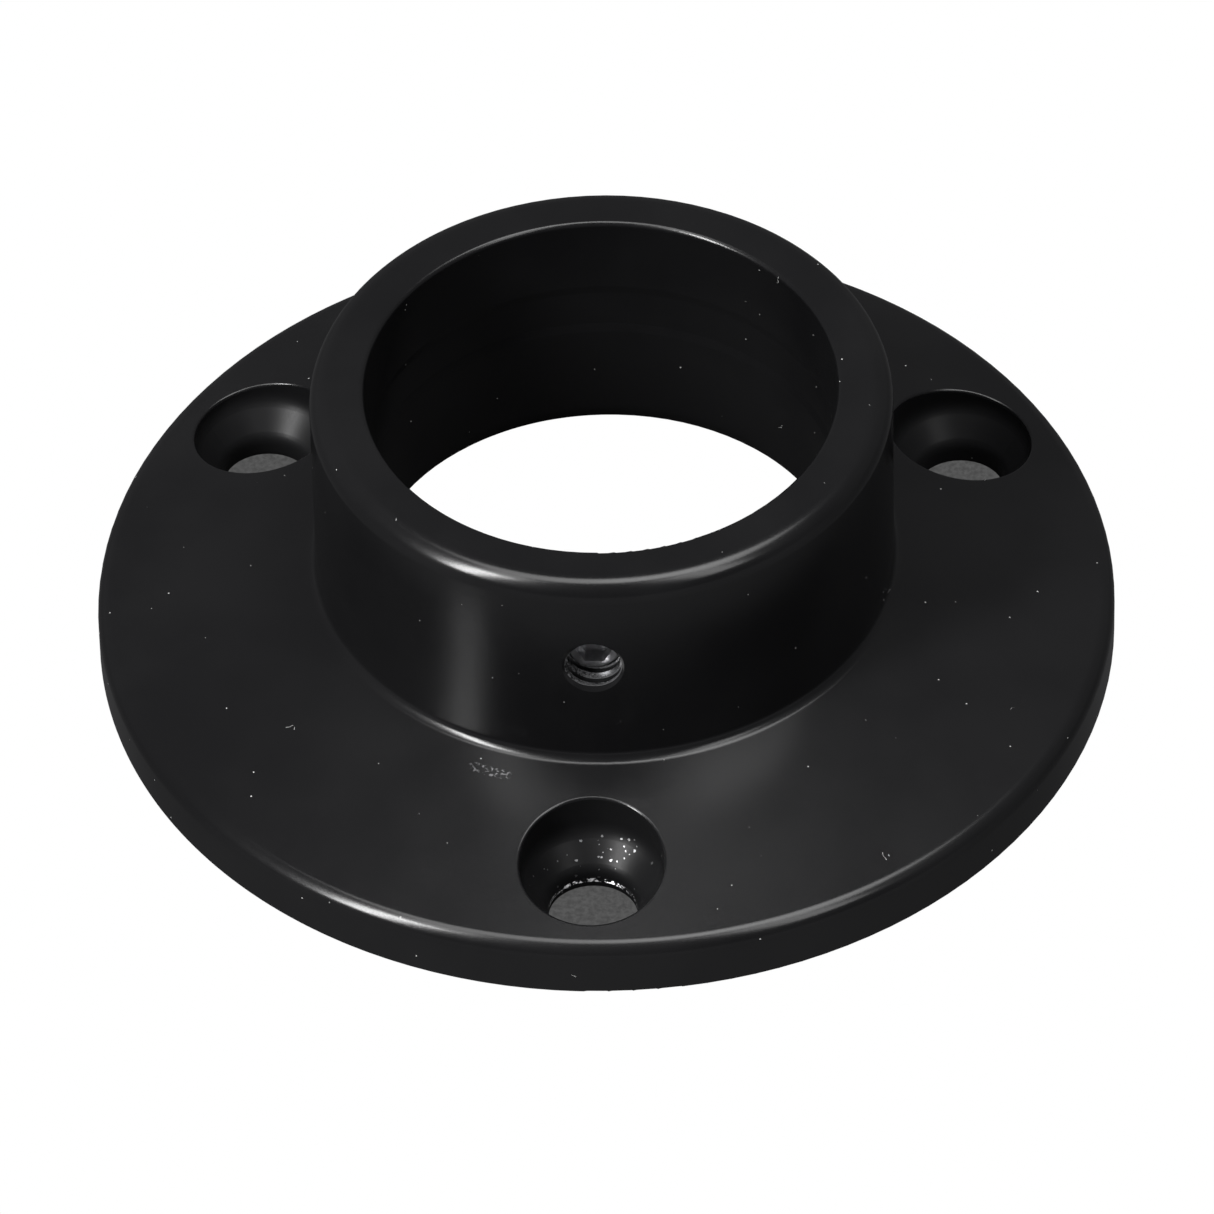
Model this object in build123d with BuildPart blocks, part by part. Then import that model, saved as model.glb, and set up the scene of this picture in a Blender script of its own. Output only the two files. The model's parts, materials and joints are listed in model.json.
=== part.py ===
from build123d import *
import math
import os

# Round surface-mount base for a stanchion tube. It has two pieces: the base, whose collar
# is bored right through for the tube, and the short set screw that grips the tube.
# Origin: centre of the mounting face. +Z runs up the bore. The set screw is on the -Y side.

# Driving dimensions, in millimetres and degrees
FLANGE_DIAMETER = 76.2
FLANGE_EDGE_HEIGHT = 4.6
FLANGE_TOP_SLOPE = 11.9
COLLAR_DIAMETER = 43.2
COLLAR_TOP = 25.4
BORE_DIAMETER = 35.0

# Rounded edges of the base
FLANGE_TOP_ROUND = 1.35
FLANGE_FOOT_ROUND = 0.7
COLLAR_FOOT_FILLET = 0.85
COLLAR_TOP_ROUND = 1.6
BORE_MOUTH_ROUND = 0.4
BORE_FOOT_ROUND = 2.0

# Hollow in the underside, round the foot of the bore
HOLLOW_DIAMETER = 47.6
HOLLOW_DEPTH = 4.5
HOLLOW_CORNER_FILLET = 1.2
HOLLOW_EDGE_ROUND = 0.3

# Relief groove round the bore, a little under the level of the set screw
GROOVE_HEIGHT = 16.65
GROOVE_DEPTH = 0.15
GROOVE_FLOOR_WIDTH = 3.1
GROOVE_SHOULDER_WIDTH = 0.8

# Mounting screw holes: a through hole with a rounded foot, a cone for a flat head, and a
# straight recess above, with both ends of the cone rounded
SCREW_COUNT = 3
SCREW_CIRCLE_DIAMETER = 60.8
SCREW_HOLE_DIAMETER = 6.6
SCREW_HOLE_FOOT_ROUND = 0.4
SCREW_CONE_FOOT = 1.8
SCREW_CONE_FOOT_ROUND = 1.5
SCREW_CONE_ANGLE = 82
SCREW_RECESS_DIAMETER = 10.66
SCREW_RECESS_FILLET = 1.8
SCREW_RECESS_ROUND = 0.2
FIRST_SCREW_ANGLE = -90
CUT_PAST = 1.0

# Tapped hole through the collar wall, 24 threads to the inch
TAPPED_HOLE_HEIGHT = 17.4
THREAD_MAJOR_DIAMETER = 4.83
THREAD_MINOR_DIAMETER = 4.0
THREAD_PITCH = 25.4 / 24
THREAD_FLANK_ANGLE = 30
THREAD_ROOT_FLAT = 0.13
THREAD_START = 0.57
THREAD_OVERLAP = 0.2
TAPPED_MOUTH_DIAMETER = 5.0
TAPPED_MOUTH_ANGLE = 120

# Set screw, with running clearance inside the crests of the tapped hole
SET_SCREW_DIAMETER = 3.88
SET_SCREW_LENGTH = 2.0
SET_SCREW_SUNK = 1.9
SET_SCREW_THREAD_DEPTH = 0.26
SOCKET_ACROSS_FLATS = 2.38
SOCKET_DEPTH = 1.0
SOCKET_END_CHAMFER = 0.2
POINT_CHAMFER = 0.45
CUP_DIAMETER = 2.0
CUP_DEPTH = 0.4

# How a solid of revolution stands on its plane: rising from it, or hanging under it
ON_PLANE = (Align.CENTER, Align.CENTER, Align.MIN)
UNDER_PLANE = (Align.CENTER, Align.CENTER, Align.MAX)

# Values worked out from those
flange_radius = FLANGE_DIAMETER / 2
collar_radius = COLLAR_DIAMETER / 2
bore_radius = BORE_DIAMETER / 2
hollow_radius = HOLLOW_DIAMETER / 2
screw_circle_radius = SCREW_CIRCLE_DIAMETER / 2
screw_hole_radius = SCREW_HOLE_DIAMETER / 2
screw_recess_radius = SCREW_RECESS_DIAMETER / 2
cone_height = (screw_recess_radius - screw_hole_radius) / math.tan(math.radians(SCREW_CONE_ANGLE / 2))
cone_top = SCREW_CONE_FOOT + cone_height
flange_rise = (flange_radius - collar_radius) * math.tan(math.radians(FLANGE_TOP_SLOPE))
collar_foot_height = FLANGE_EDGE_HEIGHT + flange_rise
groove_floor_radius = bore_radius + GROOVE_DEPTH
groove_half_floor = GROOVE_FLOOR_WIDTH / 2
groove_half_width = groove_half_floor + GROOVE_SHOULDER_WIDTH
minor_radius = THREAD_MINOR_DIAMETER / 2
mouth_radius = TAPPED_MOUTH_DIAMETER / 2
mouth_depth = (mouth_radius - minor_radius) / math.tan(math.radians(TAPPED_MOUTH_ANGLE / 2))
tap_reach = collar_radius - bore_radius + 2 * THREAD_START
set_screw_radius = SET_SCREW_DIAMETER / 2
flank_slope = math.tan(math.radians(THREAD_FLANK_ANGLE))

# Work planes on the axis of the tapped hole, with their normals pointing into the bore
hole_mouth = Plane(origin=(0, -collar_radius, TAPPED_HOLE_HEIGHT), x_dir=(1, 0, 0), z_dir=(0, 1, 0))
screw_head = hole_mouth.offset(SET_SCREW_SUNK)
screw_point = screw_head.offset(SET_SCREW_LENGTH)

os.makedirs("parts", exist_ok=True)


def helical_v(plane, crest_radius, root_radius, length):
    """Make a 60 degree V swept along a helix about the plane's normal, for a thread.

    It starts THREAD_START before the plane, it is flat at the thread's roots, and it goes
    THREAD_OVERLAP past the crests, so that it cuts or joins the shank there."""
    outwards = math.copysign(1, root_radius - crest_radius)
    root = root_radius - crest_radius
    mouth = -outwards * THREAD_OVERLAP
    root_half = THREAD_ROOT_FLAT / 2
    mouth_half = root_half + abs(root - mouth) * flank_slope
    with BuildPart() as thread:
        with BuildLine() as path:
            Helix(pitch=THREAD_PITCH, height=length, radius=crest_radius)
        with BuildSketch(Plane(origin=(crest_radius, 0, 0), x_dir=(1, 0, 0), z_dir=(0, 1, 0))):
            with BuildLine():
                Polyline(
                    (mouth, -mouth_half),
                    (root, -root_half),
                    (root, root_half),
                    (mouth, mouth_half),
                    close=True,
                )
            make_face()
        sweep(path=path.wires()[0], is_frenet=True)
    return thread.part.moved(plane.offset(-THREAD_START).location)


# Cutter for the tapped hole, shaped like a tap: a core at the thread's crests, the V of the
# thread, and the cone that countersinks the mouth
tap_thread = helical_v(hole_mouth, minor_radius, THREAD_MAJOR_DIAMETER / 2, tap_reach)

with BuildPart() as tap:
    with Locations(hole_mouth):
        Cylinder(minor_radius, 2 * tap_reach)
        Cone(mouth_radius, minor_radius, mouth_depth, align=ON_PLANE)
        Cylinder(mouth_radius, THREAD_PITCH, align=UNDER_PLANE)
    add(tap_thread)


# Cutter for one mounting screw hole, standing on the mounting face
with BuildPart() as screw_cutter:
    with BuildSketch(Plane.XZ) as cutter_profile:
        with BuildLine():
            Polyline(
                (0, -CUT_PAST),
                (screw_hole_radius, -CUT_PAST),
                (screw_hole_radius, SCREW_CONE_FOOT),
                (screw_recess_radius, cone_top),
                (screw_recess_radius, collar_foot_height),
                (0, collar_foot_height),
                close=True,
            )
        make_face()
        for corner, size in (
            ((screw_hole_radius, SCREW_CONE_FOOT), SCREW_CONE_FOOT_ROUND),
            ((screw_recess_radius, cone_top), SCREW_RECESS_FILLET),
        ):
            fillet(cutter_profile.vertices().sort_by_distance(corner)[0], radius=size)
    revolve(axis=Axis.Z)


with BuildPart() as base:
    # The flange and the collar are one turned profile
    with BuildSketch(Plane.XZ) as profile:
        with BuildLine():
            Polyline(
                (hollow_radius, 0),
                (flange_radius, 0),
                (flange_radius, FLANGE_EDGE_HEIGHT),
                (collar_radius, collar_foot_height),
                (collar_radius, COLLAR_TOP),
                (bore_radius, COLLAR_TOP),
                (bore_radius, GROOVE_HEIGHT + groove_half_width),
                (groove_floor_radius, GROOVE_HEIGHT + groove_half_floor),
                (groove_floor_radius, GROOVE_HEIGHT - groove_half_floor),
                (bore_radius, GROOVE_HEIGHT - groove_half_width),
                (bore_radius, HOLLOW_DEPTH),
                (hollow_radius, HOLLOW_DEPTH),
                close=True,
            )
        make_face()
        for corner, size in (
            ((flange_radius, 0), FLANGE_FOOT_ROUND),
            ((flange_radius, FLANGE_EDGE_HEIGHT), FLANGE_TOP_ROUND),
            ((collar_radius, collar_foot_height), COLLAR_FOOT_FILLET),
            ((collar_radius, COLLAR_TOP), COLLAR_TOP_ROUND),
            ((bore_radius, COLLAR_TOP), BORE_MOUTH_ROUND),
            ((bore_radius, HOLLOW_DEPTH), BORE_FOOT_ROUND),
            ((hollow_radius, HOLLOW_DEPTH), HOLLOW_CORNER_FILLET),
            ((hollow_radius, 0), HOLLOW_EDGE_ROUND),
        ):
            fillet(profile.vertices().sort_by_distance(corner)[0], radius=size)
    revolve(axis=Axis.Z)

    # Mounting screw holes, the first of them right under the set screw
    with PolarLocations(screw_circle_radius, SCREW_COUNT, start_angle=FIRST_SCREW_ANGLE):
        add(screw_cutter.part, mode=Mode.SUBTRACT)

    # The recesses meet the flange's cone in the only edges that are neither arcs nor lines
    recess_rims = base.edges().filter_by(
        lambda edge: edge.geom_type not in (GeomType.CIRCLE, GeomType.LINE)
    )
    fillet(recess_rims, radius=SCREW_RECESS_ROUND)
    foot_circles = base.edges().filter_by(GeomType.CIRCLE).group_by(Axis.Z)[0]
    screw_hole_feet = foot_circles.filter_by(
        lambda edge: math.isclose(edge.radius, screw_hole_radius)
    )
    fillet(screw_hole_feet, radius=SCREW_HOLE_FOOT_ROUND)

    # Tapped hole through the collar wall
    add(tap.part, mode=Mode.SUBTRACT)
base.part.label = "base"
export_step(base.part, "parts/base.step")


screw_thread = helical_v(
    screw_head,
    set_screw_radius,
    set_screw_radius - SET_SCREW_THREAD_DEPTH,
    SET_SCREW_LENGTH + 2 * THREAD_START,
)

with BuildPart() as set_screw:
    with Locations(screw_head):
        Cylinder(set_screw_radius, SET_SCREW_LENGTH, align=ON_PLANE)
    end_rims = set_screw.edges().filter_by(GeomType.CIRCLE).sort_by(Axis.Y)
    chamfer(end_rims[0], length=SOCKET_END_CHAMFER)
    chamfer(end_rims[-1], length=POINT_CHAMFER)
    add(screw_thread, mode=Mode.SUBTRACT)
    with BuildSketch(screw_head):
        RegularPolygon(SOCKET_ACROSS_FLATS / 2, side_count=6, major_radius=False)
    extrude(amount=SOCKET_DEPTH, mode=Mode.SUBTRACT)
    with Locations(screw_point):
        Cone(0, CUP_DIAMETER / 2, CUP_DEPTH, align=UNDER_PLANE, mode=Mode.SUBTRACT)
set_screw.part.label = "set_screw"
export_step(set_screw.part, "parts/set_screw.step")
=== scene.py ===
import json
import math

import bpy
from mathutils import Matrix, Vector


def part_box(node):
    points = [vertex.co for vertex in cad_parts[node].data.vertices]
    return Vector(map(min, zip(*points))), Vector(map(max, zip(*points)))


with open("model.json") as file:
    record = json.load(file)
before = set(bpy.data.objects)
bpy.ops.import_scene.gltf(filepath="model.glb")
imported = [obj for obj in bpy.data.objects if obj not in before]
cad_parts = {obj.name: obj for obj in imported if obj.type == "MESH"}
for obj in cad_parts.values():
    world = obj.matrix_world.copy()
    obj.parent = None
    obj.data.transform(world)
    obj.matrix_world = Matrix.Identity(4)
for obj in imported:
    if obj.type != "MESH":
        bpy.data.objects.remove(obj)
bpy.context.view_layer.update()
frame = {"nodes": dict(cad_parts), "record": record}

MM = 0.001

# Camera: a long lens, looking down on the front of the base
CAMERA_AZIMUTH = 2.92
CAMERA_ELEVATION = 44.48
CAMERA_ROLL = -1.47
CAMERA_DISTANCE = 1.0216
CAMERA_LENS = 403.1
CAMERA_SENSOR = 36
CAMERA_CLIP = 10
AIM_UP = 1.72 * MM

# Lights, by direction from the object, with azimuth counted from the camera's
# name: azimuth, elevation, distance, width, height, power
LIGHTS = {
    "key": (-53, 39, 1.2, 0.2, 0.72, 14),
    "upper_left": (-55, 62, 1.2, 0.3, 0.25, 1.2),
    "overhead": (90, 86, 1.1, 0.48, 1.05, 6.3),
    "overhead_right": (85, 80, 1.1, 0.3, 0.4, 0.6),
    "right": (46, 52, 1.2, 0.32, 0.73, 2.6),
}

# World above and below the horizon, on the front's side and on the far side. The fades
# between them run over these parts of a unit direction's Z and Y.
WORLD_ABOVE_NEAR = (0.075, 0.075, 0.077, 1)
WORLD_ABOVE_FAR = (0.12, 0.12, 0.123, 1)
WORLD_BELOW_NEAR = (0.2, 0.2, 0.205, 1)
WORLD_BELOW_FAR = (0.08, 0.08, 0.082, 1)
WORLD_HORIZON = (-0.05, 0.05)
WORLD_NEAR_TO_FAR = (-0.7, 0.4)

# Turned profile of the base, in millimetres and degrees, for exact normals on its round edges
FLANGE_SLOPE = 11.9
FLANGE_EDGE_HEIGHT = 4.6
FLANGE_TOP_ROUND = 1.35
COLLAR_FOOT_FILLET = 0.85
COLLAR_RADIUS = 21.6
COLLAR_TOP_ROUND = 1.6
BORE_MOUTH_ROUND = 0.4
RECESS_STEP = 2.03

# The exact normal is used where the mesh's own is within so many degrees of it, but not
# this close to the rim of a screw recess
NORMAL_AGREEMENT = 25
MOUTH_AGREEMENT = 55
RECESS_CLEARANCE = 0.4

# Noises: scale, detail and roughness
PEEL = (2.6, 3.0, 0.6)
GRIT = (9.0, 2.0, 0.5)
CLOUD = (0.09, 3.0, 0.5)
FIBRE_WAVES = (0.55, 2.0, 0.5)
THREAD_SPECKLE = (5.5, 3.0, 0.7)
LIP_BREAKS = (3.4, 3.0, 0.7)
CHIP_EDGES = (7.0, 2.0, 0.6)
SCRATCHES = (3.0, 3.0, 0.75)
STAIN = (1.1, 4.0, 0.6)
STEEL_GRAIN = (14.0, 2.0, 0.5)
# Mottles the painted shade on the floor under the base
SHADE_MOTTLE_NOISE = (2.5, 3.0, 0.6)
NOISE_SPAN = (0.3, 0.7)

# Coat, how much rougher it is in the screw recesses, and how much less it reflects there as painted
# shade
COAT_DARK = (0.006, 0.006, 0.0065, 1)
COAT_PALE = (0.0085, 0.0085, 0.009, 1)
COAT_ROUGHNESS = (0.195, 0.225)
COAT_IOR = 1.5
COAT_SPECULAR = 0.5
COAT_BUMP = 0.12
COAT_BUMP_DEPTH = 0.03 * MM
PEEL_SHARE = 0.5
GRIT_SHARE = 0.5
GRIT_ROUGHNESS = (-0.02, 0.03)
RECESS_ROUGHER = 0.19
RECESS_PAINTED_SHADE = 0.2

# Dust: how dense its cells are, how big a speck is in its cell, and how many cells are empty
DUST_COLOUR = (0.55, 0.55, 0.54, 1)
DUST_ROUGHER = 0.5
SPECK_CELLS = 0.95
SPECK_SIZE = (0.02, 0.062)
SPECK_EMPTY = 0.72
FIBRE_CELLS = 0.22
FIBRE_REACH = 0.08
FIBRE_WIDTH = 0.0035
FIBRE_EMPTY = 0.7

# Bare metal, in millimetres. Threads: within this radius of the hole's axis, and more bare
# towards +X.
BARE_METAL = (0.42, 0.42, 0.43, 1)
CREST_EDGE = (2.12, 2.06)
CREST_SIDES = (-2.0, 2.0)
CREST_BIAS = (-0.05, 0.12)
CREST_BARE = (0.4, 0.55)

# Worn line round the foot of the front screw hole: its height and half width, how far out of
# the hole it goes, where it is broken, and how far its burr tips the surface up
LIP_HEIGHT = 0.85
LIP_HALF_WIDTH = (0.22, 0.12)
LIP_OUT = (0.12, 0.04)
LIP_BARE = (0.51, 0.57)
LIP_TILT = 1.3

# Chips in the front screw hole's wall: how far they go, where they are most crowded, their
# size in their cells, how ragged they are, and the share of cells empty there and elsewhere
CHIPPED_WIDTH = 1.9
CHIPPED_PLACE = (1.7, -26.3, 3.4)
CHIPPED_RADIUS = 2.4
CHIP_CELLS = 3.0
CHIP_SIZE = (0.09, 0.3)
CHIP_RAGGED = (0.6, 1.5)
CHIP_EMPTY = (0.5, 0.94)

# Scuff beside the collar's foot, in millimetres, with its azimuth counted from -Y
SCUFF_AZIMUTH = -19
SCUFF_RADIUS = 23.9
SCUFF_LENGTH = 3.6
SCUFF_WIDTH = 0.9
SCUFF_BARE = (0.53, 0.6)

# Set screw's steel, faintly ringed by turning
STEEL_DARK = (0.42, 0.42, 0.43, 1)
STEEL_PALE = (0.58, 0.58, 0.59, 1)
STEEL_ROUGHNESS = (0.34, 0.5)
STEEL_BUMP = 0.2
STEEL_BUMP_DEPTH = 0.01 * MM
STAIN_SPAN = (0.35, 0.65)
RING_WAVES = 70.0
RING_SHARE = 0.4

# Floor, with painted shade under the base, and the dark card of painted shade on it
FLOOR_SIZE = 4.0
FLOOR_GAP = 0.02 * MM
FLOOR_WHITE = (1, 1, 1, 1)
# Painted shade: how bright the floor is under the base, and how much that shade is mottled
FLOOR_PAINTED_SHADE = 0.085
SHADE_MOTTLE_SPAN = (0.8, 1.2)
FOOT_TOLERANCE = 0.01 * MM
CARD_SIDES = 64
# Painted shade: colour of the card under the base
PAINTED_SHADE_CARD_COLOUR = (0.03, 0.03, 0.03, 1)

# Points, and the axes that a distance counts
AXIS = (0.0, 0.0, 0.0)
LEVEL = (1.0, 1.0, 0.0)
UPRIGHT = (1.0, 0.0, 1.0)
ALL_AXES = (1.0, 1.0, 1.0)

scene = bpy.context.scene


def direction(azimuth, elevation):
    """Unit vector from the object, azimuth from -Y towards +X, in degrees."""
    a = math.radians(azimuth)
    e = math.radians(elevation)
    return Vector((math.sin(a) * math.cos(e), -math.cos(a) * math.cos(e), math.sin(e)))


def turned_to(side, upright, out, place):
    """Matrix for a thing at place whose X, Y and Z lie along side, upright and out."""
    return Matrix.Translation(place) @ Matrix((side, upright, out)).transposed().to_4x4()


def add_object(name, data):
    thing = bpy.data.objects.new(name, data)
    scene.collection.objects.link(thing)
    return thing


class Graph:
    """A node tree with short calls for adding nodes and joining them."""

    def __init__(self, tree):
        self.tree = tree
        tree.nodes.clear()

    def add(self, kind, inputs=None, **settings):
        node = self.tree.nodes.new(kind)
        for name, value in settings.items():
            setattr(node, name, value)
        for key, value in (inputs or {}).items():
            self.feed(node.inputs[key], value)
        return node

    def feed(self, socket, value):
        if isinstance(value, bpy.types.NodeSocket):
            self.tree.links.new(value, socket)
        else:
            socket.default_value = value

    def math(self, operation, a, b=0.0, clamp=False):
        node = self.add("ShaderNodeMath", {0: a, 1: b}, operation=operation, use_clamp=clamp)
        return node.outputs[0]

    def vector(self, operation, a, b=AXIS):
        return self.add("ShaderNodeVectorMath", {0: a, 1: b}, operation=operation)

    def above(self, value, limit):
        return self.math("GREATER_THAN", value, limit)

    def below(self, value, limit):
        return self.math("LESS_THAN", value, limit)

    def all_of(self, first, *others):
        for other in others:
            first = self.math("MULTIPLY", first, other)
        return first

    def any_of(self, first, *others):
        for other in others:
            first = self.math("MAXIMUM", first, other)
        return first

    def ramp(self, value, low, high, to_low=0.0, to_high=1.0):
        """value from low..high to to_low..to_high, smooth at both ends."""
        node = self.add(
            "ShaderNodeMapRange",
            {"Value": value, "From Min": low, "From Max": high, "To Min": to_low, "To Max": to_high},
            interpolation_type="SMOOTHSTEP",
        )
        return node.outputs["Result"]

    def noise(self, where, scale, detail, roughness):
        node = self.add(
            "ShaderNodeTexNoise",
            {"Vector": where, "Scale": scale, "Detail": detail, "Roughness": roughness},
        )
        return node.outputs["Fac"]

    def cells(self, where, scale):
        """Distance from the centre of a random cell, and two random numbers that it keeps."""
        node = self.add("ShaderNodeTexVoronoi", {"Vector": where, "Scale": scale, "Randomness": 1.0})
        numbers = self.add("ShaderNodeSeparateColor", {0: node.outputs["Color"]})
        return node.outputs["Distance"], numbers.outputs[0], numbers.outputs[1]

    def blend(self, factor, a, b):
        node = self.add("ShaderNodeMix", data_type="RGBA")
        self.feed(node.inputs[0], factor)
        self.feed(node.inputs[6], a)
        self.feed(node.inputs[7], b)
        return node.outputs[2]

    def distance(self, where, point, counting=ALL_AXES):
        away = self.vector("SUBTRACT", where, point).outputs[0]
        kept = self.vector("MULTIPLY", away, counting).outputs[0]
        return self.vector("LENGTH", kept).outputs["Value"]

    def choose(self, condition, a, b):
        """a where condition is 1, b where it is 0."""
        return self.math("ADD", b, self.all_of(condition, self.math("SUBTRACT", a, b)))

    def choose_pair(self, condition, a, b):
        return self.choose(condition, a[0], b[0]), self.choose(condition, a[1], b[1])


def new_material(name):
    material = bpy.data.materials.new(name)
    material.use_nodes = True
    return material, Graph(material.node_tree)


def in_millimetres(graph):
    place = graph.add("ShaderNodeTexCoord").outputs["Object"]
    scaled = graph.add("ShaderNodeVectorMath", {0: place, "Scale": 1 / MM}, operation="SCALE")
    return scaled.outputs[0]


class Arc:
    """One arc of the turned profile: where its centre is and which way its surface faces.

    towards is -1 for a hollow arc. outwards is -1 for an arc that faces the axis."""

    def __init__(self, centre_radius, centre_height, towards=1, outwards=1, steepest=90.0):
        self.centre_radius = centre_radius
        self.centre_height = centre_height
        self.towards = towards
        self.outwards = outwards
        self.steepest = math.radians(steepest)

    def tilt(self, graph, radius, height):
        """Radial and upward parts of the normal, held level and steepest beyond the arc's ends."""
        from_centre = graph.math("SUBTRACT", radius, self.centre_radius)
        over = graph.math("MULTIPLY", from_centre, self.towards * self.outwards)
        up = graph.math("MULTIPLY", graph.math("SUBTRACT", height, self.centre_height), self.towards)
        angle = graph.math("ARCTAN2", up, over)
        held = graph.math("MINIMUM", graph.math("MAXIMUM", angle, 0.0), self.steepest)
        radial = graph.math("MULTIPLY", graph.math("COSINE", held), self.outwards)
        return radial, graph.math("SINE", held)


def turned_normal(graph, where, parts, top, from_recess):
    """The mesh's own normal, and the exact one of the turned profile wherever the two nearly agree.

    The bore below its mouth and the rims of the screw recesses keep their own."""
    slope = math.radians(FLANGE_SLOPE)
    flange_foot = FLANGE_EDGE_HEIGHT + (flange_radius - COLLAR_RADIUS) * math.tan(slope)
    rise = 1 / math.cos(slope) - math.tan(slope)
    edge = Arc(
        flange_radius - FLANGE_TOP_ROUND,
        FLANGE_EDGE_HEIGHT - FLANGE_TOP_ROUND * rise,
        steepest=90 - FLANGE_SLOPE,
    )
    foot = Arc(
        COLLAR_RADIUS + COLLAR_FOOT_FILLET,
        flange_foot + COLLAR_FOOT_FILLET * rise,
        towards=-1,
        steepest=90 - FLANGE_SLOPE,
    )
    rim = Arc(COLLAR_RADIUS - COLLAR_TOP_ROUND, top - COLLAR_TOP_ROUND)
    mouth = Arc(bore_radius + BORE_MOUTH_ROUND, top - BORE_MOUTH_ROUND, outwards=-1)

    # The arc that belongs to each part of the profile
    radius = graph.distance(where, AXIS, LEVEL)
    height = parts.outputs["Z"]
    on_flange = graph.above(radius, (flange_radius + COLLAR_RADIUS) / 2)
    on_rim = graph.above(height, (flange_foot + top) / 2)
    in_mouth = graph.below(radius, (COLLAR_RADIUS - COLLAR_TOP_ROUND + bore_radius) / 2)
    edge_tilt = edge.tilt(graph, radius, height)
    tilt = graph.choose_pair(on_flange, edge_tilt, foot.tilt(graph, radius, height))
    tilt = graph.choose_pair(on_rim, rim.tilt(graph, radius, height), tilt)
    radial, upward = graph.choose_pair(in_mouth, mouth.tilt(graph, radius, height), tilt)
    share = graph.math("DIVIDE", radial, radius)
    exact = graph.add(
        "ShaderNodeCombineXYZ",
        {
            "X": graph.math("MULTIPLY", parts.outputs["X"], share),
            "Y": graph.math("MULTIPLY", parts.outputs["Y"], share),
            "Z": upward,
        },
    ).outputs[0]

    # Where it takes the place of the mesh's own
    own = graph.add("ShaderNodeNewGeometry").outputs["Normal"]
    match = graph.vector("DOT_PRODUCT", own, exact).outputs["Value"]
    outside = graph.above(radius, bore_radius + 2 * BORE_MOUTH_ROUND)
    mouth_match = math.cos(math.radians(MOUTH_AGREEMENT))
    other_match = math.cos(math.radians(NORMAL_AGREEMENT))
    agrees = graph.above(match, graph.ramp(outside, 0.0, 1.0, mouth_match, other_match))
    at_mouth = graph.above(height, top - 2 * BORE_MOUTH_ROUND)
    off_recess = graph.above(from_recess, recess_radius + RECESS_CLEARANCE)
    mix = graph.add("ShaderNodeMix", data_type="VECTOR")
    graph.feed(mix.inputs[0], graph.all_of(agrees, graph.any_of(outside, at_mouth), off_recess))
    graph.feed(mix.inputs[4], own)
    graph.feed(mix.inputs[5], exact)
    return mix.outputs[1]


# Where things are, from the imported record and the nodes' own boxes, in millimetres
mounts = {mount["name"]: mount["dims"] for mount in frame["record"]["mounts"]}
bore_radius = mounts["tube_bore"]["r_mm"]
hole_circle = mounts["mounting_holes"]["pcd_mm"] / 2
hole_radius = mounts["mounting_holes"]["hole_r_mm"]
hole_count = mounts["mounting_holes"]["count"]
recess_radius = hole_radius + RECESS_STEP
screw_low, screw_high = (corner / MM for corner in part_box("set_screw"))
base_low, base_high = (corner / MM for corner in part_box("base"))
flange_radius = (base_high.x - base_low.x) / 2
screw_axis = (0.0, 0.0, (screw_low.z + screw_high.z) / 2)
hole_centres = [
    tuple(hole_circle * direction(360 * turn / hole_count, 0)) for turn in range(hole_count)
]
front_hole = hole_centres[0]

black, g = new_material("black_satin_coat")
where = in_millimetres(g)
parts = g.add("ShaderNodeSeparateXYZ", {0: where})

# The coat: fine orange peel, faint cloudiness, and a roughness that wanders a little
peel = g.noise(where, *PEEL)
grit = g.noise(where, *GRIT)
cloud = g.noise(where, *CLOUD)
coat_colour = g.blend(g.ramp(cloud, *NOISE_SPAN), COAT_DARK, COAT_PALE)
cloud_roughness = g.ramp(cloud, *NOISE_SPAN, *COAT_ROUGHNESS)
coat_roughness = g.math("ADD", cloud_roughness, g.ramp(grit, *NOISE_SPAN, *GRIT_ROUGHNESS))
peel_height = g.math("MULTIPLY", peel, PEEL_SHARE)
coat_height = g.math("ADD", peel_height, g.math("MULTIPLY", grit, GRIT_SHARE))

# Dust: small pale specks, one in a small share of the cells, and a few short fibres
from_speck, speck_chance, speck_number = g.cells(where, SPECK_CELLS)
speck_size = g.ramp(speck_number, 0.0, 1.0, *SPECK_SIZE)
specks = g.all_of(g.below(from_speck, speck_size), g.above(speck_chance, SPECK_EMPTY))
off_fibre = g.math("ABSOLUTE", g.math("SUBTRACT", g.noise(where, *FIBRE_WAVES), 0.5))
from_spot, fibre_chance, _ = g.cells(where, FIBRE_CELLS)
in_spot = g.below(from_spot, FIBRE_REACH)
fibres = g.all_of(g.below(off_fibre, FIBRE_WIDTH), in_spot, g.above(fibre_chance, FIBRE_EMPTY))
dust = g.any_of(specks, fibres)

# Bare metal on the crests of the tapped hole's thread, more on its right
on_crest = g.ramp(g.distance(where, screw_axis, UPRIGHT), *CREST_EDGE)
near_front = g.below(parts.outputs["Y"], 0.0)
crest_bias = g.ramp(parts.outputs["X"], *CREST_SIDES, *CREST_BIAS)
bared = g.math("ADD", g.noise(where, *THREAD_SPECKLE), crest_bias)
bare_threads = g.all_of(on_crest, near_front, g.ramp(bared, *CREST_BARE))

# The screw recesses, where the coat is rougher and reflects less as painted shade
from_recess = g.distance(where, front_hole, LEVEL)
for centre in hole_centres[1:]:
    from_recess = g.math("MINIMUM", from_recess, g.distance(where, centre, LEVEL))
in_any_recess = g.below(from_recess, recess_radius)

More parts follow.
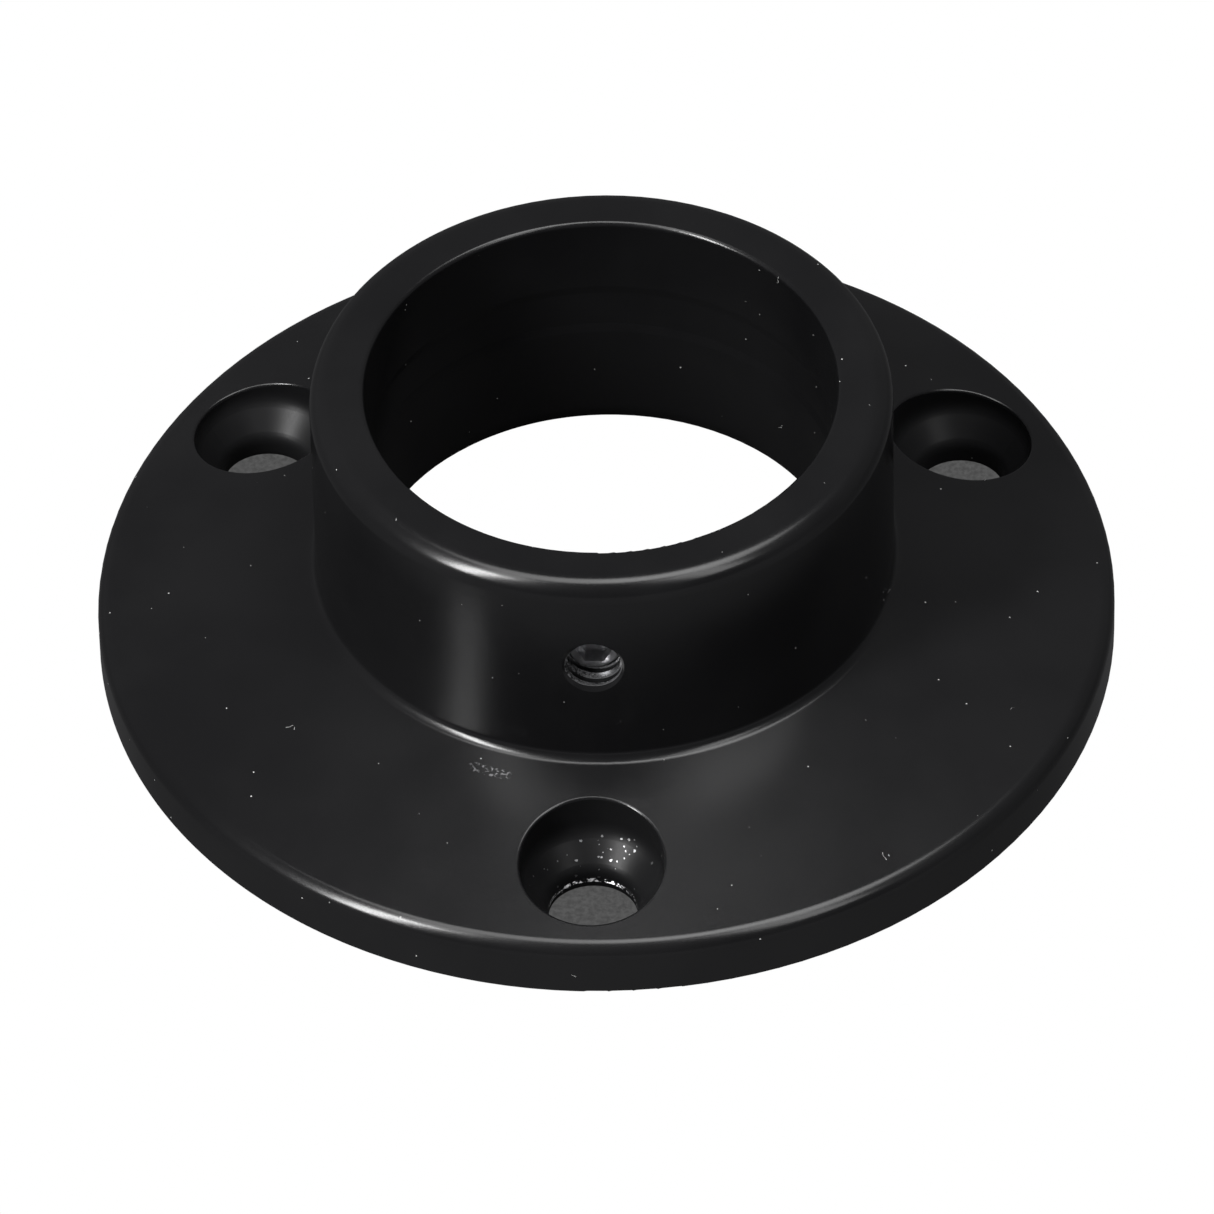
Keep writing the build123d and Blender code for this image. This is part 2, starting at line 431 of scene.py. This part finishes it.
# Front screw recess: its lower lip is worn bright in places, and its wall is chipped
from_screw = g.distance(where, front_hole, LEVEL)
from_lip = g.math("ABSOLUTE", g.math("SUBTRACT", parts.outputs["Z"], LIP_HEIGHT))
lip_edge = g.ramp(from_screw, hole_radius + LIP_OUT[0], hole_radius + LIP_OUT[1])
lip_breaks = g.ramp(g.noise(where, *LIP_BREAKS), *LIP_BARE)
worn_lip = g.all_of(lip_edge, g.ramp(from_lip, *LIP_HALF_WIDTH), lip_breaks)
from_chip, chip_chance, chip_number = g.cells(where, CHIP_CELLS)
ragged = g.ramp(g.noise(where, *CHIP_EDGES), *NOISE_SPAN, *CHIP_RAGGED)
chip_size = g.math("MULTIPLY", g.ramp(chip_number, 0.0, 1.0, *CHIP_SIZE), ragged)
from_crowd = g.distance(where, CHIPPED_PLACE)
chip_empty = g.ramp(from_crowd, CHIPPED_RADIUS / 2, CHIPPED_RADIUS, *CHIP_EMPTY)
in_recess = g.below(from_screw, hole_radius + CHIPPED_WIDTH)
chips = g.all_of(g.below(from_chip, chip_size), g.above(chip_chance, chip_empty), in_recess)

# A scuff on the flange, just off the collar's foot, on the front left
scuff_centre = tuple(SCUFF_RADIUS * direction(SCUFF_AZIMUTH, 0))
along = g.ramp(g.distance(where, scuff_centre, LEVEL), SCUFF_LENGTH / 2, SCUFF_LENGTH / 4)
off_scuff = g.math("ABSOLUTE", g.math("SUBTRACT", g.distance(where, AXIS, LEVEL), SCUFF_RADIUS))
across = g.ramp(off_scuff, SCUFF_WIDTH / 2, SCUFF_WIDTH / 4)
scuff = g.all_of(along, across, g.ramp(g.noise(where, *SCRATCHES), *SCUFF_BARE))

# All of it together
metal = g.any_of(bare_threads, scuff, worn_lip, chips)
with_metal = g.blend(metal, coat_colour, BARE_METAL)
rough_here = g.math("ADD", coat_roughness, g.math("MULTIPLY", in_any_recess, RECESS_ROUGHER))
dust_roughness = g.math("MULTIPLY", dust, DUST_ROUGHER)
# Painted shade: the coat reflects less in the screw recesses, darkening them
recess_painted_shade = g.math("MULTIPLY", in_any_recess, RECESS_PAINTED_SHADE)
burr = g.add("ShaderNodeCombineXYZ", {"Z": g.math("MULTIPLY", worn_lip, LIP_TILT)}).outputs[0]
smooth = turned_normal(g, where, parts, base_high.z, from_recess)
tipped = g.vector("NORMALIZE", g.vector("ADD", smooth, burr).outputs[0]).outputs[0]
bump = g.add(
    "ShaderNodeBump",
    {"Strength": COAT_BUMP, "Distance": COAT_BUMP_DEPTH, "Height": coat_height, "Normal": tipped},
)
surface = g.add(
    "ShaderNodeBsdfPrincipled",
    {
        "Base Color": g.blend(dust, with_metal, DUST_COLOUR),
        "Metallic": metal,
        "Roughness": g.math("ADD", rough_here, dust_roughness, clamp=True),
        "Normal": bump.outputs[0],
        "IOR": COAT_IOR,
        "Specular IOR Level": g.math("SUBTRACT", COAT_SPECULAR, recess_painted_shade),
    },
)
g.add("ShaderNodeOutputMaterial", {"Surface": surface.outputs[0]})

steel, g = new_material("dark_screw_steel")
where = in_millimetres(g)
rings = g.math("SINE", g.math("MULTIPLY", g.distance(where, screw_axis, UPRIGHT), RING_WAVES))
stain = g.noise(where, *STAIN)
grain = g.noise(where, *STEEL_GRAIN)
steel_height = g.math("ADD", g.math("MULTIPLY", rings, RING_SHARE), grain)
steel_bump = g.add(
    "ShaderNodeBump",
    {"Strength": STEEL_BUMP, "Distance": STEEL_BUMP_DEPTH, "Height": steel_height},
)
surface = g.add(
    "ShaderNodeBsdfPrincipled",
    {
        "Base Color": g.blend(g.ramp(stain, *STAIN_SPAN), STEEL_DARK, STEEL_PALE),
        "Metallic": 1.0,
        "Roughness": g.ramp(stain, *NOISE_SPAN, *STEEL_ROUGHNESS),
        "Normal": steel_bump.outputs[0],
    },
)
g.add("ShaderNodeOutputMaterial", {"Surface": surface.outputs[0]})

for node, material in (("base", black), ("set_screw", steel)):
    for material_slot in frame["nodes"][node].material_slots:
        material_slot.material = material

# Radii at which the base stands on the floor
foot = [
    math.hypot(vertex.co.x, vertex.co.y) / MM
    for vertex in frame["nodes"]["base"].data.vertices
    if vertex.co.z < FOOT_TOLERANCE
]

# Plain white floor, evenly bright, with painted shade: dim grey only in the ring that the base
# stands on
half = FLOOR_SIZE / 2
floor_corners = [(-half, -half), (half, -half), (half, half), (-half, half)]
floor_mesh = bpy.data.meshes.new("floor")
floor_mesh.from_pydata([(x, y, -FLOOR_GAP) for x, y in floor_corners], [], [(0, 1, 2, 3)])
floor = add_object("floor", floor_mesh)
floor.visible_glossy = False
floor.visible_diffuse = False
paper_and_painted_shade, g = new_material("white_paper")
where = in_millimetres(g)
from_axis = g.distance(where, AXIS, LEVEL)
# Painted shade: the ring under the base glows dim grey instead of white
painted_shade_ring = g.all_of(g.above(from_axis, min(foot)), g.below(from_axis, max(foot)))
shade_mottle = g.ramp(g.noise(where, *SHADE_MOTTLE_NOISE), *NOISE_SPAN, *SHADE_MOTTLE_SPAN)
white_and_painted_shade = g.blend(painted_shade_ring, FLOOR_WHITE, g.math("MULTIPLY", shade_mottle, FLOOR_PAINTED_SHADE))
emission = g.add("ShaderNodeEmission", {"Color": white_and_painted_shade})
g.add("ShaderNodeOutputMaterial", {"Surface": emission.outputs[0]})
floor_mesh.materials.append(paper_and_painted_shade)

# Dark card just under the base, seen only in reflections: painted shade that keeps the bore dark
card_turns = [2 * math.pi * step / CARD_SIDES for step in range(CARD_SIDES)]
card_radius = max(foot) * MM
card_rim = [
    (card_radius * math.cos(turn), card_radius * math.sin(turn), -FLOOR_GAP / 2)
    for turn in card_turns
]
card_mesh = bpy.data.meshes.new("dark_card")
card_mesh.from_pydata(card_rim, [], [tuple(range(CARD_SIDES))])
card = add_object("dark_card", card_mesh)
card.visible_camera = False
card.visible_shadow = False
black_paper, g = new_material("black_paper")
diffuse = g.add("ShaderNodeBsdfDiffuse", {"Color": PAINTED_SHADE_CARD_COLOUR})
g.add("ShaderNodeOutputMaterial", {"Surface": diffuse.outputs[0]})
card_mesh.materials.append(black_paper)

# World: dim above the horizon and paler below it on the front's side, and the other way
# round on the far side
world = bpy.data.worlds.new("studio")
scene.world = world
world.use_nodes = True
g = Graph(world.node_tree)
towards = g.add("ShaderNodeSeparateXYZ", {0: g.add("ShaderNodeTexCoord").outputs["Generated"]})
above = g.ramp(towards.outputs["Z"], *WORLD_HORIZON)
far = g.ramp(towards.outputs["Y"], *WORLD_NEAR_TO_FAR)
upper = g.blend(far, WORLD_ABOVE_NEAR, WORLD_ABOVE_FAR)
lower = g.blend(far, WORLD_BELOW_NEAR, WORLD_BELOW_FAR)
sky = g.add("ShaderNodeBackground", {"Color": g.blend(above, lower, upper)})
g.add("ShaderNodeOutputWorld", {"Surface": sky.outputs[0]})

# Lights: panels that face the object, their width level
for name, (azimuth, elevation, distance, width, height, power) in LIGHTS.items():
    light = bpy.data.lights.new(name, "AREA")
    light.shape = "RECTANGLE"
    light.size = width
    light.size_y = height
    light.energy = power
    out = direction(CAMERA_AZIMUTH + azimuth, elevation)
    side = direction(CAMERA_AZIMUTH + azimuth + 90, 0)
    add_object(name, light).matrix_world = turned_to(side, out.cross(side), out, out * distance)

# Camera
camera_data = bpy.data.cameras.new("camera")
camera_data.lens = CAMERA_LENS
camera_data.sensor_width = CAMERA_SENSOR
camera_data.dof.use_dof = False
camera_data.clip_start = CAMERA_DISTANCE / CAMERA_CLIP
camera_data.clip_end = CAMERA_DISTANCE * CAMERA_CLIP
camera = add_object("camera", camera_data)
scene.camera = camera
back = direction(CAMERA_AZIMUTH, CAMERA_ELEVATION)
level_right = direction(CAMERA_AZIMUTH + 90, 0)
level_up = back.cross(level_right)
roll = math.radians(CAMERA_ROLL)
right = math.cos(roll) * level_right + math.sin(roll) * level_up
upward = -math.sin(roll) * level_right + math.cos(roll) * level_up
camera.matrix_world = turned_to(right, upward, back, AIM_UP * upward + CAMERA_DISTANCE * back)

scene.view_settings.view_transform = "Standard"
scene.cycles.use_denoising = True
